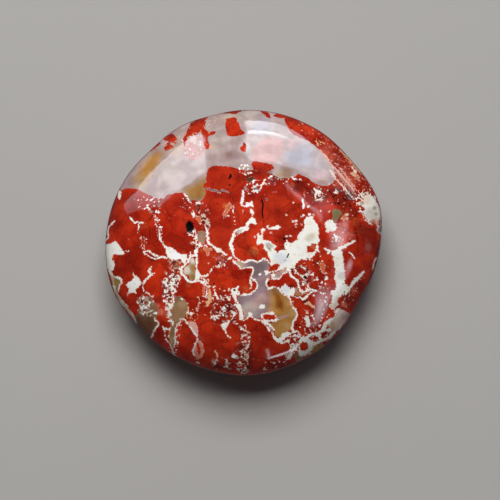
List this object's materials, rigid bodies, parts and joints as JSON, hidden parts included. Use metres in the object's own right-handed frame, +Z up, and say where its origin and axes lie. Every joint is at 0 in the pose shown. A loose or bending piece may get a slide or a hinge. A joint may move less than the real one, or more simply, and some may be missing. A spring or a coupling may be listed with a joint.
{
  "type": "polished jasper palm stone",
  "caption": "Rounded, polished palm stone of red brecciated jasper with cream veins, for the hand or a display shelf.",
  "frame": {"origin": "middle of the bounding box, on the surface the stone rests on", "axes": "+Z up through the dome, +X to the right and +Y away as the picture shows the stone"},
  "size_m": [0.05, 0.05, 0.018],
  "materials": {
    "polished_jasper": "polished"
  },
  "bodies": {
    "root": {"jasper_stone": "polished_jasper"}
  },
  "joints": []
}
